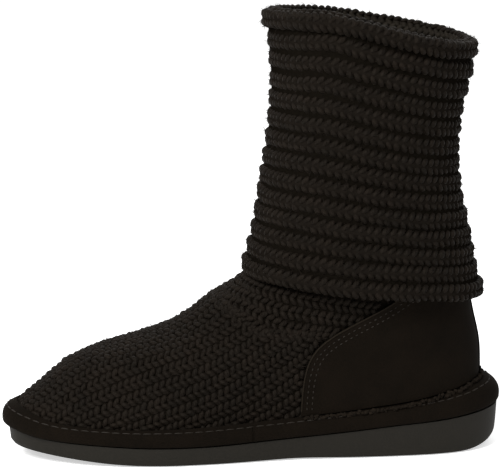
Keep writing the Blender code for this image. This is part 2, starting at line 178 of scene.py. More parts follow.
def mean_of(tree, first, second):
    both = add(tree, "ShaderNodeMath", {0: first, 1: second}, operation="ADD").outputs[0]
    return add(tree, "ShaderNodeMath", {0: both, 1: 0.5}, operation="MULTIPLY").outputs[0]


def coloured(tree, shader, factor, dark, light, ends=(0.0, 1.0)):
    """Colours the shader from dark to light between two ends of a factor."""
    ramp = add(tree, "ShaderNodeValToRGB", {"Fac": factor})
    for element, position, code in zip(ramp.color_ramp.elements, ends, (dark, light)):
        element.position, element.color = position, shade(code)
    tree.links.new(ramp.outputs["Color"], shader.inputs["Base Color"])


def bumped(tree, shader, height, strength, depth):
    bump = add(tree, "ShaderNodeBump", {"Height": height, "Strength": strength, "Distance": depth})
    tree.links.new(bump.outputs["Normal"], shader.inputs["Normal"])


def grained(name, grain, colours, relief, **constants):
    """A finish of one grain (scale, detail), with colours as in coloured and relief as in bumped."""
    made, tree, shader = finish_named(name, **constants)
    specks = speckle(tree, *grain)
    coloured(tree, shader, specks, *colours)
    bumped(tree, shader, specks, *relief)
    return made


def recoloured(finish, name, dark, light):
    """A copy of a finish between two other colours."""
    made = finish.copy()
    made.name = name
    ramp = next(node for node in made.node_tree.nodes if node.type == "VALTORGB").color_ramp
    ramp.elements[0].color, ramp.elements[1].color = shade(dark), shade(light)
    return made


# %% [markdown]
# ## Wool-blend yarn
#
# The yarn is a loosely spun two-ply wool blend, dyed black. Loose fibres scatter light softly, so it
# is rough, with a sheen at glancing angles that pales the edges of the boot. The two plies wind round
# each other once in about 6 mm: that shows as slanted ridges on every loop, drawn here by a wave on
# the loop's own UV map. Each loop also carries a tone, since no two take the dye alike.

# %% Yarn finish
wool, tree, shader = finish_named(
    "wool blend yarn", Roughness=0.60, Specular_IOR_Level=0.09, Specular_Tint=shade("#e6d8c6"),
    Sheen_Weight=0.035, Sheen_Roughness=0.4, Sheen_Tint=shade("#c0ac96"),
)
loop_map = add(tree, "ShaderNodeUVMap", uv_map="UVMap").outputs["UV"]
tone = add(tree, "ShaderNodeAttribute", attribute_name="tone").outputs["Fac"]
dye = mean_of(tree, tone, speckle(tree, 60.0, 3.0))
coloured(tree, shader, dye, "#0c0a08", "#17120e", (0.25, 0.80))
wound = {"Vector": loop_map, "Scale": 1.0, "Distortion": 0.6, "Detail": 1.0}
plies = add(tree, "ShaderNodeTexWave", wound, wave_type="BANDS",
            bands_direction="DIAGONAL").outputs["Fac"]
hairs = speckle(tree, 2600.0, 2.0)
relief = add(tree, "ShaderNodeMath", {0: plies, 1: hairs}, operation="ADD").outputs[0]
bumped(tree, shader, relief, 0.5, 0.0004)

# painted light: the lining's yarn is a paler copy of the yarn, so the shaded inside of the shaft shows
# as bright as the outside
lit_lining_wool = recoloured(wool, "wool blend yarn of the lining", "#14120f", "#231f1a")

# %% [markdown]
# ## The dark ground behind the loops, painted shade
#
# Between the loops one looks into the shadowed back of the knit. The backing is the imported wall,
# smoothed and drawn in, and that shade is painted on it: a very dark version of the yarn with no
# reflection. The yarn that fills a rib is the same, with less painted shade, a step paler.

# %% Backing finish
# painted shade: the backing is a darkened copy of the yarn with no reflection, for the shade between the
# loops
shaded_ground = grained("yarn ground", (500.0, 3.0), ("#0a0806", "#13100c"), (0.6, 0.0006),
                 Roughness=0.95, Specular_IOR_Level=0.0)
# painted shade, less than the backing's: the yarn inside a rib, seen between its legs
shaded_packed_yarn = recoloured(shaded_ground, "yarn packed inside a rib", "#0f0d0b", "#1b1713")

# %% [markdown]
# ## Suede, moulded foam, fleece and thread
#
# Suede is leather with a brushed flesh side: no gloss, and a short nap that is darker or lighter where
# it has been stroked. Its raw side and its cut edges are paler. The sole is moulded EVA foam, matt and
# a clear step lighter than all above it. The footbed is fleece. The thread is as pale as a cut edge.

# %% Suede finish
suede, tree, shader = finish_named(
    "brushed suede", Roughness=0.9, Specular_IOR_Level=0.04, Sheen_Weight=0.02, Sheen_Roughness=0.5,
    Sheen_Tint=shade("#a59d90"),
)
stroked = speckle(tree, 45.0, 4.0, Roughness=0.65)
nap = speckle(tree, 1500.0, 2.0)
coloured(tree, shader, mean_of(tree, stroked, nap), "#0b0805", "#130e09", (0.35, 0.66))
bumped(tree, shader, nap, 0.5, 0.0003)

raw_suede = recoloured(suede, "raw flesh side of suede", "#0f0c09", "#1f1913")
cut_edge, _, _ = finish_named("cut edge of suede", Base_Color=shade("#1d1812"), Roughness=0.9,
                              Specular_IOR_Level=0.06)

# %% Foam, fleece, thread and floor finishes
foam = grained("moulded EVA foam", (900.0, 2.0), ("#1a1813", "#1f1c17", (0.3, 0.7)), (0.3, 0.0002),
               Roughness=0.6, Specular_IOR_Level=0.14)
fleece = grained("fleece", (420.0, 4.0), ("#0e0c0a", "#34302b"), (0.9, 0.0012), Roughness=0.95,
                 Specular_IOR_Level=0.1, Sheen_Weight=0.3, Sheen_Roughness=0.5,
                 Sheen_Tint=shade("#8e877d"))
thread, _, _ = finish_named("waxed polyester thread", Base_Color=shade("#1d1812"), Roughness=0.6,
                            Specular_IOR_Level=0.2)
paper, tree, shader = finish_named("white light table", Base_Color=shade("#f4f4f4"), Roughness=0.9,
                                   Specular_IOR_Level=0.0, Emission_Color=shade("#ffffff"))
seen_or_lit(tree, FLOOR_SEEN, FLOOR_LIGHT, shader.inputs["Emission Strength"])
floor.data.materials.append(paper)

# %% [markdown]
# ## Backings
#
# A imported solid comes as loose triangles. Merging its points and joining its triangles gives back
# the quads it was made of, and subdivision rounds them. Where yarn lies on a wall, the wall is drawn
# in along its normals, so that the loops stand where its surface was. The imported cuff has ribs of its
# own: its outer wall is evened out and drawn in further, because the scene lays its own ribs on it.


# %% Limits of the cuff
AXIS_X, CUFF_REACH = 0.0594, 0.057
HEM_FRONT, HEM_FALL = 0.0945, 0.0125
COLLAR_TOP, COLLAR_FALL, COLLAR_SAG = 0.2345, 0.0125, 0.0095
HEM_CURVE, COLLAR_CURVE = 0.75, 1.12
FALL_FROM = 0.25
OUTWARD_ENOUGH = 0.3
ABOVE_HEM, BELOW_COLLAR = 0.001, 0.007


def hem_at(u):
    """The height of the hem at a share of the cuff's length, from its front to its back."""
    return HEM_FRONT - HEM_FALL * u**HEM_CURVE


def collar_at(u, side):
    """The height of the collar, which sags at the back of the inner side (side 1, not -1)."""
    fall = max(0.0, (u - FALL_FROM) / (1 - FALL_FROM))
    sag = COLLAR_SAG * (0.5 + side * math.sqrt(u * (1 - u))) ** 2
    return COLLAR_TOP - COLLAR_FALL * fall**COLLAR_CURVE - sag * fall


def on_cuff_wall(point):
    """Tells the ribbed outer wall of the cuff, whose normals point away from the leg."""
    level = Vector((point.co.x - AXIS_X, point.co.y, 0.0)).normalized()
    u = min(1.0, max(0.0, (point.co.x - AXIS_X) / (2 * CUFF_REACH) + 0.5))
    top = collar_at(u, 1 if point.co.y < 0 else -1) - BELOW_COLLAR
    return point.normal.dot(level) > OUTWARD_ENOUGH and hem_at(u) + ABOVE_HEM < point.co.z < top


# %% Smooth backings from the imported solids
WELD = 2e-6
QUAD_BEND, QUAD_SKEW = 0.6, 0.7
FLATTENINGS, FLATTENING = 6, 0.5
YARN_ROOM = 0.9 * MM
CUFF_SINK = 0.5 * MM
STRAP_GAP, STRAP_PRESS = 0.45 * MM, 0.5
CRISP, SOLE_CRISP = 0.9, 0.5


def pressed_on(point, guide):
    """A point's place once its piece is pressed flatter on to the guide."""
    near, _, _, reach = guide.find_nearest(point)
    return near + (point - near) * STRAP_PRESS * (1 - STRAP_GAP / reach)


def smooth_copy(node, name, finish, drawn_in=0.0, levels=1, crisp=None, onto=None):
    """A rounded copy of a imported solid. Edges that turn by more than crisp, in radians, stay sharp."""
    shape = bmesh.new()
    shape.from_mesh(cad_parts[node].data)
    bmesh.ops.remove_doubles(shape, verts=shape.verts, dist=WELD)
    bmesh.ops.join_triangles(shape, faces=shape.faces, angle_face_threshold=QUAD_BEND,
                             angle_shape_threshold=QUAD_SKEW)
    bmesh.ops.recalc_face_normals(shape, faces=shape.faces)
    shape.normal_update()
    wall = [v for v in shape.verts if node == "shaft" and on_cuff_wall(v)]
    if wall:
        for _ in range(FLATTENINGS):
            bmesh.ops.smooth_vert(shape, verts=wall, factor=FLATTENING, use_axis_x=True,
                                  use_axis_y=True)
        shape.normal_update()
    behind_ribs = set(wall)
    if drawn_in:
        for v in shape.verts:
            v.co -= v.normal * (drawn_in + (CUFF_SINK if v in behind_ribs else 0.0))
    if onto is not None:
        for v in shape.verts:
            v.co = pressed_on(v.co, onto)
    if crisp is not None:
        layer = shape.edges.layers.float.new("crease_edge")
        for edge in shape.edges:
            edge.smooth = edge.calc_face_angle(0.0) < crisp
            edge[layer] = 0.0 if edge.smooth else 1.0
    made = bpy.data.objects.new(name, bpy.data.meshes.new(name))
    for face in shape.faces:
        face.smooth = True
    shape.to_mesh(made.data)
    shape.free()
    SCENE.collection.objects.link(made)
    rounder = made.modifiers.new("rounding", "SUBSURF")
    rounder.levels = rounder.render_levels = levels
    made.data.materials.append(finish)
    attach(made, "root")
    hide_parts(node)
    print(name, len(made.data.polygons), "faces before rounding")
    return made


def guide_of(node, crisp=None):
    """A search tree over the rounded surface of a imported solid."""
    shape = smooth_copy(node, "guide", shaded_ground, crisp=crisp)
    graph = bpy.context.evaluated_depsgraph_get()
    found = BVHTree.FromObject(shape, graph)
    bpy.data.objects.remove(shape)
    return found


shaft_guide, upper_guide = guide_of("shaft"), guide_of("upper")
rand_guide, counter_guide = guide_of("rand"), guide_of("heel_counter", CRISP)

# the backings under the yarn carry the painted shade of the dark ground finish
smooth_copy("shaft", "shaft_ground", shaded_ground, YARN_ROOM)
smooth_copy("upper", "upper_ground", shaded_ground, YARN_ROOM)
band = smooth_copy("rand", "suede_band", suede, levels=2)
smooth_copy("heel_counter", "suede_counter", suede, levels=2, crisp=CRISP)
smooth_copy("back_stay", "suede_stay", suede, levels=2, onto=counter_guide)
smooth_copy("outsole", "foam_sole", foam, levels=2, crisp=SOLE_CRISP)
insole = smooth_copy("footbed", "fleece_footbed", fleece, levels=2)

# %% [markdown]
# ## One leg of a stitch
#
# A knitted stitch shows as a V, and each leg of the V is a plump spindle: thick where it lies on top
# and pinched at both ends, where it dives under the next stitch. It is a ring of eight points that is
# pulled out in steps and scaled at each one. A step gives the place along the leg, the thickness and
# the lift, as shares of the length and the radius. Its UV map runs round and along the yarn.

# %% Make the leg
SIDES = 8
LEG_STEPS = [(-0.50, 0.30, -0.20), (-0.34, 0.82, -0.04), (-0.12, 1.0, 0.10), (0.12, 1.0, 0.10),
             (0.34, 0.82, -0.04), (0.50, 0.30, -0.20)]


def yarn_leg(length, radius, turns):
    """A leg along X with its back up Z; turns is how often the UV map repeats along it."""
    shape = bmesh.new()
    along, thick, lift = LEG_STEPS[0]
    bmesh.ops.create_circle(shape, segments=SIDES, radius=radius, cap_ends=False,
                            matrix=Matrix.Rotation(math.pi / 2, 4, "Y"))
    for v in shape.verts:
        v.co = Vector((along * length, v.co.y * thick, v.co.z * thick + lift * radius))
    edges = list(shape.edges)
    before = LEG_STEPS[0]
    for step in LEG_STEPS[1:]:
        pulled = bmesh.ops.extrude_edge_only(shape, edges=edges)["geom"]
        edges = [g for g in pulled if isinstance(g, bmesh.types.BMEdge)]
        grown = step[1] / before[1]
        for v in (g for g in pulled if isinstance(g, bmesh.types.BMVert)):
            v.co = Vector((step[0] * length, v.co.y * grown,
                           (v.co.z - before[2] * radius) * grown + step[2] * radius))
        before = step
    bmesh.ops.recalc_face_normals(shape, faces=shape.faces)
    laid = shape.loops.layers.uv.new("UVMap")
    for face in shape.faces:
        face.smooth = True
        middle = face.calc_center_median()
        home = math.atan2(middle.z, middle.y)
        for corner in face.loops:
            place = corner.vert.co
            round_it = math.atan2(place.z, place.y)
            round_it += 2 * math.pi * round((home - round_it) / (2 * math.pi))
            corner[laid].uv = (round_it / (2 * math.pi) * 2, place.x / length * turns)
    mesh = bpy.data.meshes.new("leg")
    shape.to_mesh(mesh)
    shape.free()
    return bpy.data.objects.new("leg", mesh)


# %% [markdown]
# ## Laying stitches on a surface
#
# A row is a line of points on the guide with the surface's outward normals. It is divided by the
# stitch pitch, and each stitch gets two legs, one on either side of the line, that lean apart. Each
# leg is one point of a cloud with its turn, size and tone; a node group puts the leg there and makes
# the copies real.


# %% Row and stitch helpers
chance = np.random.default_rng(11)
STRAY_LEAN, STRAY_PLACE = 5, 0.00012
SMALLEST, TONES = 0.3, (0.3, 0.7)
SIZE_DIFFERS = np.array((0.5, 1, 1))


def resample(points, pitch, closed):
    """Places at even steps along a line of (point, normal), with the tangents there."""
    spots = np.array([p for p, _ in points])
    normals = np.array([n for _, n in points])
    if closed:
        spots, normals = np.vstack([spots, spots[:1]]), np.vstack([normals, normals[:1]])
    run = np.concatenate([[0], np.cumsum(np.linalg.norm(np.diff(spots, axis=0), axis=1))])
    count = max(1, round(run[-1] / pitch))
    at = (np.arange(count) + 0.5) * run[-1] / count
    place = np.stack([np.interp(at, run, spots[:, i]) for i in range(3)], 1)
    normal = np.stack([np.interp(at, run, normals[:, i]) for i in range(3)], 1)
    ahead = np.stack([np.interp(at + pitch / 2, run, spots[:, i]) for i in range(3)], 1)
    behind = np.stack([np.interp(at - pitch / 2, run, spots[:, i]) for i in range(3)], 1)
    tangent = ahead - behind
    tangent /= np.linalg.norm(tangent, axis=1, keepdims=True) + 1e-12
    normal -= tangent * np.sum(normal * tangent, axis=1, keepdims=True)
    normal /= np.linalg.norm(normal, axis=1, keepdims=True) + 1e-12
    return place, tangent, normal


def stitches(points, pitch, closed, spread, slant, sunk, tilt, keep=None):
    """The legs of one row as (place, along, out).

    spread is how far a leg's middle lies from the row, slant its angle to the row, sunk how deep it
    lies and tilt how far it turns over the flank of the rib.
    """
    legs = []
    places, tangents, normals = resample(points, pitch, closed)
    for place, tangent, normal in zip(places, tangents, normals):
        across = np.cross(normal, tangent)
        for side in (1, -1):
            lean = slant + math.radians(chance.normal(0, STRAY_LEAN))
            flank = across * side * math.cos(tilt) - normal * math.sin(tilt)
            along = tangent * math.cos(lean) + flank * math.sin(lean)
            out = normal * math.cos(tilt) + across * side * math.sin(tilt)
            out -= along * np.dot(out, along)
            out /= np.linalg.norm(out)
            spot = place + across * side * spread
            if keep is None or keep(spot, normal):
                stray = chance.normal(0, STRAY_PLACE, 3)
                legs.append((spot - normal * sunk + stray, along, out))
    return legs


def real_mesh(drawn):
    """The mesh that an object's modifiers or bevel make of it."""
    bpy.context.view_layer.update()
    graph = bpy.context.evaluated_depsgraph_get()
    return bpy.data.meshes.new_from_object(drawn.evaluated_get(graph))


def sewn(name, leg, legs, finish, wobble=0.07, stretch=1.0):
    """All legs as one mesh. wobble is how much their sizes differ, stretch scales them all."""
    cloud = bpy.data.meshes.new(name)
    cloud.from_pydata([tuple(spot) for spot, _, _ in legs], [], [])
    for attribute, kind in (("turn", "FLOAT_VECTOR"), ("size", "FLOAT_VECTOR"), ("tone", "FLOAT")):
        cloud.attributes.new(attribute, kind, "POINT")
    turn, size, tone = (cloud.attributes[attribute] for attribute in ("turn", "size", "tone"))
    for i, (_, along, out) in enumerate(legs):
        side = np.cross(out, along)
        matrix = Matrix((along, side, out)).transposed()
        turn.data[i].vector = matrix.to_euler()
        scale = stretch * (1 + chance.normal(0, wobble, 3) * SIZE_DIFFERS)
        size.data[i].vector = np.maximum(SMALLEST, scale)
        tone.data[i].value = chance.uniform(*TONES)
    made = bpy.data.objects.new(name, cloud)
    SCENE.collection.objects.link(made)
    group = bpy.data.node_groups.new(name + " sewing", "GeometryNodeTree")
    group.interface.new_socket("Geometry", in_out="INPUT", socket_type="NodeSocketGeometry")
    group.interface.new_socket("Geometry", in_out="OUTPUT", socket_type="NodeSocketGeometry")
    start = add(group, "NodeGroupInput")
    little = add(group, "GeometryNodeObjectInfo", {"Object": leg})
    turned = add(group, "GeometryNodeInputNamedAttribute", {"Name": "turn"}, data_type="FLOAT_VECTOR")
    sized = add(group, "GeometryNodeInputNamedAttribute", {"Name": "size"}, data_type="FLOAT_VECTOR")
    put = add(group, "GeometryNodeInstanceOnPoints", {
        "Points": start.outputs["Geometry"], "Instance": little.outputs["Geometry"],
        "Rotation": turned.outputs["Attribute"], "Scale": sized.outputs["Attribute"]})
    real = add(group, "GeometryNodeRealizeInstances", {"Geometry": put.outputs["Instances"]})
    add(group, "NodeGroupOutput", {"Geometry": real.outputs["Geometry"]})
    made.modifiers.new("sewing", "NODES").node_group = group
    whole = real_mesh(made)
    made.modifiers.clear()
    made.data = whole
    whole.materials.clear()
    whole.materials.append(finish)
    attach(made, "root")
    print(name, len(legs), "legs,", sum(len(p.vertices) - 2 for p in whole.polygons), "triangles")


# %% [markdown]
# ## Cords
#
# The filling of a rib, a cut edge and a join are all round cords along a line: a curve with a bevel,
# turned into a mesh.


# %% Round cords
def cord_on(name, lines, radius, finish, closed=False):
    """Round cords along lines of points, as one mesh."""
    curve = bpy.data.curves.new(name, "CURVE")
    curve.dimensions = "3D"
    curve.bevel_depth = radius
    curve.bevel_resolution = 2
    curve.use_fill_caps = True
    for spots in lines:
        spline = curve.splines.new("POLY")
        spline.points.add(len(spots) - 1)
        spline.use_cyclic_u = closed
        for i, spot in enumerate(spots):
            spline.points[i].co = (*spot, 1.0)
    drawn = bpy.data.objects.new(name, curve)
    SCENE.collection.objects.link(drawn)
    mesh = real_mesh(drawn)
    bpy.data.objects.remove(drawn)
    made = bpy.data.objects.new(name, mesh)
    SCENE.collection.objects.link(made)
    for face in mesh.polygons:
        face.use_smooth = True
    mesh.materials.clear()
    mesh.materials.append(finish)
    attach(made, "root")
    print(name, len(mesh.polygons), "faces")


# %% [markdown]
# ## The folded cuff
#
# The shaft is a sideways 1 by 1 rib: each rib is one wale of stitches that runs round the leg, and
# the purl wale between two ribs sinks out of sight. Fourteen ribs are placed by rays from the
# outside, at heights shared out between the hem and the collar.

# %% Lines of the cuff
RIBS = 14
CROWDING = 0.014
WANDER, WANDER_ROUND, WANDER_UP = 0.0009, 1.8, 30
FAR_OUT, CLOSE_BY = 0.2, 0.03


def rib_share(at):
    """The share of the cuff's height at a rib's number; the lower ribs are a little narrower."""
    return at / RIBS - CROWDING * math.sin(math.pi * at / RIBS)


def cuff_height(rise, u, side):
    """The height at a share of the way from the hem to the collar."""
    return hem_at(u) + rise * (collar_at(u, side) - hem_at(u))


def outward(turn):
    """The level direction at a turn from the toe, the inner side first."""
    return Vector((-math.cos(turn), -math.sin(turn), 0.0))


def struck(guide, start, toward):
    """Where a ray first meets the guide, and the normal there, or None and None."""
    return guide.ray_cast(start, (toward - start).normalized())[:2]


def cuff_ends(rise):
    """How far the cuff reaches to the front and to the back at a share of its height."""
    reach = []
    for u, turn in ((0.0, 0.0), (1.0, math.pi)):
        centre = Vector((AXIS_X, 0.0, cuff_height(rise, u, 0)))
        reach.append(struck(shaft_guide, centre + outward(turn) * FAR_OUT, centre)[0].x)
    return reach


def share_between(x, ends):
    """How far x lies from the front end to the back end, from 0 to 1."""
    return min(1.0, max(0.0, (x - ends[0]) / (ends[1] - ends[0])))


def inner_first(turn):
    """1 on the inner side and -1 on the outer one."""
    return 1 if math.sin(turn) > 0 else -1


def cuff_row(rise, count=240):
    """The line round the cuff at a share of its height, with level outward normals."""
    line, ends = [], cuff_ends(rise)
    for i in range(count):
        turn = 2 * math.pi * i / count
        u = (1 - math.cos(turn)) / 2
        wander = noise.noise(outward(turn) * WANDER_ROUND + Vector((0, 0, rise * WANDER_UP)))
        for _ in range(3):
            level = cuff_height(rise, u, inner_first(turn)) + wander * WANDER
            centre = Vector((AXIS_X, 0.0, level))
            spot, _ = struck(shaft_guide, centre + outward(turn) * FAR_OUT, centre)
            u = share_between(spot.x, ends)
        line.append((np.array(spot), np.array((spot - centre).normalized())))
    return line


# %% Knit the cuff
YARN = 1.60 * MM
PITCH = 4.1 * MM
LEG = 5.9 * MM
CORE, CORE_SUNK = 3.5 * MM, 1.9 * MM
CUFF_KNIT = {"pitch": PITCH, "spread": 2.4 * MM, "slant": math.radians(50), "tilt": math.radians(34)}
RIB_SUNK = -0.1 * MM
TOP_RIBS_SUNK = {RIBS - 1: 0.9 * MM, RIBS - 2: 0.3 * MM}
leg = yarn_leg(LEG, YARN, 1.3)
cuff_rows, cores = [], []
for rib in range(RIBS):
    sunk = TOP_RIBS_SUNK.get(rib, RIB_SUNK)
    row = cuff_row(rib_share(rib + 0.5))
    cores.append([spot - normal * (CORE_SUNK + sunk) for spot, normal in row])
    cuff_rows.append(stitches(row, closed=True, sunk=sunk, **CUFF_KNIT))
# each rib is filled by a cord of yarn with painted shade, so no holes show between its legs
cord_on("rib_cores", cores, CORE, shaded_packed_yarn, closed=True)
low = [leg_at for row in cuff_rows[: RIBS // 2] for leg_at in row]
high = [leg_at for row in cuff_rows[RIBS // 2 :] for leg_at in row]
sewn("cuff_yarn_low", leg, low, wool)
sewn("cuff_yarn_high", leg, high, wool)

# %% [markdown]
# ## The collar roll
#
# At the top the knit turns over. Its ribs follow the fold, so the rays come in towards the middle of
# the roll from outside, from above and from inside.


# %% Rows over the fold and down the lining
RIM_ENDS = cuff_ends(0.97)


def fold_row(lift, below=4.6 * MM, inset=4.4 * MM, count=220):
    """A row on the fold: lift is the angle up from level, outside, over the top and to the inside."""
    line = []
    for i in range(count):
        turn = 2 * math.pi * i / count
        u = (1 - math.cos(turn)) / 2
        for _ in range(2):
            centre = Vector((AXIS_X, 0.0, collar_at(u, inner_first(turn)) - below))
            rim, _ = struck(shaft_guide, centre + outward(turn) * FAR_OUT, centre)
            u = share_between(rim.x, RIM_ENDS)
        core = Vector((rim.x, rim.y, collar_at(u, inner_first(turn)) - below))
        core -= outward(turn) * inset
        out = outward(turn) * math.cos(lift) + Vector((0, 0, math.sin(lift)))
        spot, _ = struck(shaft_guide, core + out * CLOSE_BY, core)
        line.append((np.array(spot), np.array(out)))
    return line


def lining_row(drop, count=200):
    """A row on the inside of the shaft, drop below the collar."""
    line = []
    for i in range(count):
        turn = 2 * math.pi * i / count
        u = (1 - math.cos(turn)) / 2
        centre = Vector((AXIS_X, 0.0, collar_at(u, inner_first(turn)) - drop))
        spot, _ = struck(shaft_guide, centre, centre + outward(turn))
        if spot is not None:
            line.append((np.array(spot), np.array(-outward(turn))))
    return line


COLLAR_LIFT = 66
FOLD_LIFTS = (132, 198)
LINING_ROWS, LINING_FROM, LINING_STEP = 11, 14.0, 8.6
COLLAR_KNIT = {"pitch": PITCH, "spread": 1.55 * MM, "slant": math.radians(46), "sunk": 1.45 * MM,
               "tilt": math.radians(20)}
FOLD_KNIT = {**COLLAR_KNIT, "spread": 1.6 * MM, "sunk": 1.3 * MM}
LINING_KNIT = {"pitch": PITCH * 1.1, "spread": 1.6 * MM, "slant": math.radians(46), "sunk": 0.7 * MM,
               "tilt": math.radians(24)}
fold = stitches(fold_row(math.radians(COLLAR_LIFT)), closed=True, **COLLAR_KNIT)
sewn("collar_yarn", leg, fold, wool)
# the rows over the top of the fold and down the inside take the lining's yarn, painted lighter against
# the shade there
lining = []
for lift in FOLD_LIFTS:
    lining += stitches(fold_row(math.radians(lift)), closed=True, **FOLD_KNIT)
for i in range(LINING_ROWS):
    drop = (LINING_FROM + LINING_STEP * i) * MM
    lining += stitches(lining_row(drop), closed=True, **LINING_KNIT)
sewn("lining_yarn", leg, lining, lit_lining_wool)

# %% [markdown]
# ## The knitted foot
#
# The foot is the same knit, stretched, with its wales running from toe to ankle. They keep their
# distance from the ridge of the instep, so that lower ones run out under the suede band. The surface
# is cut by planes that fan out from upright at the toe to leaning back at the instep. On each cut
# the distance from the ridge is measured, and a wale joins the points at equal distance.

# %% Lines of the foot
TOE_X, THROAT_X = -0.1262, -0.006
LAST_LEAN, ANKLE_LEAN = math.radians(38), math.radians(80)
TOE_RIDGE_Y = -0.006
ABOVE_SOLE, RIDGE_SHARE = 0.010, 0.62
CUTS, PAST_THROAT = 130, 1.18
HALF_FAN, FAN_STEP = 60, 2.5


def cut_line(share):
    """Points across the foot with their distance from the ridge, the inner side negative."""
    x = TOE_X + (THROAT_X - TOE_X) * min(1.0, share)
    lean = LAST_LEAN * min(1.0, share) ** 0.8 + ANKLE_LEAN * max(0.0, share - 1)
    up = Vector((-math.sin(lean), 0.0, math.cos(lean)))
    middle = TOE_RIDGE_Y * (1 - share) if share < 1 else 0.0
    ridge, _ = struck(upper_guide, Vector((x, middle, 0.0)) + up * 0.3, Vector((x, middle, 0.0)))
    if ridge is None:
        return None
    top, _ = struck(upper_guide, Vector((x, middle, 0.16)), Vector((x, middle, 0.0)))
    core = top - up * (top.z - ABOVE_SOLE) * RIDGE_SHARE
    line = []
    for i in range(-HALF_FAN, HALF_FAN + 1):
        angle = math.radians(i * FAN_STEP)
        out = up * math.cos(angle) + Vector((0.0, math.sin(angle), 0.0))
        spot, normal = struck(upper_guide, core + out * 0.15, core)
        if spot is not None:
            if normal.dot(out) < 0:
                normal = -normal
            line.append((i, np.array(spot), np.array(normal)))
    spots = np.array([p for _, p, _ in line])
    run = np.concatenate([[0], np.cumsum(np.linalg.norm(np.diff(spots, axis=0), axis=1))])
    zero = np.interp(0, [i for i, _, _ in line], run)
    return run - zero, spots, np.array([n for _, _, n in line])


cuts = [cut for cut in (cut_line(PAST_THROAT * i / (CUTS - 1)) for i in range(CUTS)) if cut]
print(len(cuts), "cuts across the foot")

# %% Where the wales of the foot may lie
SEAM_X = [-0.027, -0.014, -0.004, 0.002, 0.060]
SEAM_Z = [0.088, 0.0785, 0.0700, 0.0676, 0.0640]
NO_SEAM = 0.2
SOLE_TOP, FACING_DOWN = 0.014, -0.5
BAND_NUDGE, COUNTER_NUDGE = (0, 0, 0.0025), (-0.001, 0, 0)
BEHIND, COVER_REACH = 0.002, 0.02


def seam_at(x):
    """The height of the seam between foot and ankle; in front of it there is none."""
    return NO_SEAM if x < SEAM_X[0] else float(np.interp(x, SEAM_X, SEAM_Z))


def covered(guide, place, normal, nudge):
    """Tells a place, moved by a nudge, that lies under the guide's piece."""
    start = Vector(place) + Vector(nudge)
    found = guide.ray_cast(start - Vector(normal) * BEHIND, Vector(normal), COVER_REACH)
    return found[0] is not None


def on_vamp(place, normal):
    """Tells a place on the knit of the foot that neither the band nor the heel panel hides."""
    return (SOLE_TOP < place[2] < seam_at(place[0]) and normal[2] > FACING_DOWN
            and not covered(rand_guide, place, normal, BAND_NUDGE)
            and not covered(counter_guide, place, normal, COUNTER_NUDGE))


# %% Knit the foot
WALE, WALES = 7.7 * MM, 17
FOOT_KNIT = {"pitch": 3.6 * MM, "spread": 1.85 * MM, "slant": math.radians(48), "sunk": 1.05 * MM,
             "tilt": math.radians(14)}
vamp = []
for wale in range(-WALES, WALES + 1):
    line = []
    for run, spots, normals in cuts:
        if run[0] <= wale * WALE <= run[-1]:
            line.append((np.array([np.interp(wale * WALE, run, spots[:, k]) for k in range(3)]),
                         np.array([np.interp(wale * WALE, run, normals[:, k]) for k in range(3)])))
    if len(line) > 3:
        vamp += stitches(line, closed=False, keep=on_vamp, **FOOT_KNIT)
half = len(vamp) // 2
sewn("foot_yarn_a", leg, vamp[:half], wool)
sewn("foot_yarn_b", leg, vamp[half:], wool)

# %% [markdown]
# ## Ribs at the ankle
#
# Under the hem the shaft's ribs go on down to the seam with the foot. They fall a little towards the
# heel and end at the suede panel.


# %% Lines of the ankle
ANKLE_X, ANKLE_TURN = 0.045, 118
ANKLE_LOW, ANKLE_HIGH = 0.062, 0.1095
NEAR_ENOUGH = 0.001


def ankle_line(height_at, count=200):
    """Points round the ankle on the upper, at the height that height_at gives for their x."""
    line = []
    for i in range(count):
        turn = math.radians(-ANKLE_TURN + 2 * ANKLE_TURN * i / (count - 1))
        low, high, spot = ANKLE_LOW, ANKLE_HIGH, None
        for _ in range(12):
            z = (low + high) / 2
            centre = Vector((ANKLE_X, 0.0, z))
            spot, normal = struck(upper_guide, centre + outward(turn) * FAR_OUT, centre)
            if spot is None or z > height_at(spot.x):
                high = z
            else:
                low = z
        if spot is not None and abs(spot.z - height_at(spot.x)) < NEAR_ENOUGH:
            line.append((np.array(spot), np.array(normal)))
    return line


HEM_ENDS = cuff_ends(0.03)
UNDER_HEM, ANKLE_STEP = 3.4, 8.2
SLOPE_FROM, SLOPE_RUN = 0.022, 0.07
ABOVE_SEAM = 0.0006
ANKLE_NUDGE = (-0.0008, 0, 0.0008)
FALL_TO_HEEL, HEEL_FROM = 0.05, 0.010


def rib_height(step):
    """The height of a rib of the ankle; the ribs crowd together where the front slopes."""
    def height(x):
        steep = min(1.0, max(0.5, 0.5 + (x + SLOPE_FROM) / SLOPE_RUN))
        drop = (UNDER_HEM + ANKLE_STEP * step) * MM * steep
        return hem_at(share_between(x, HEM_ENDS)) - drop - FALL_TO_HEEL * max(0.0, x + HEEL_FROM)
    return height


def off_counter(place, normal):
    """Tells a place that the heel panel doesn't hide."""
    return not covered(counter_guide, place, normal, ANKLE_NUDGE)


def on_ankle(place, normal):
    """Tells a place above the seam that the heel panel doesn't hide."""
    return place[2] > seam_at(place[0]) + ABOVE_SEAM and off_counter(place, normal)


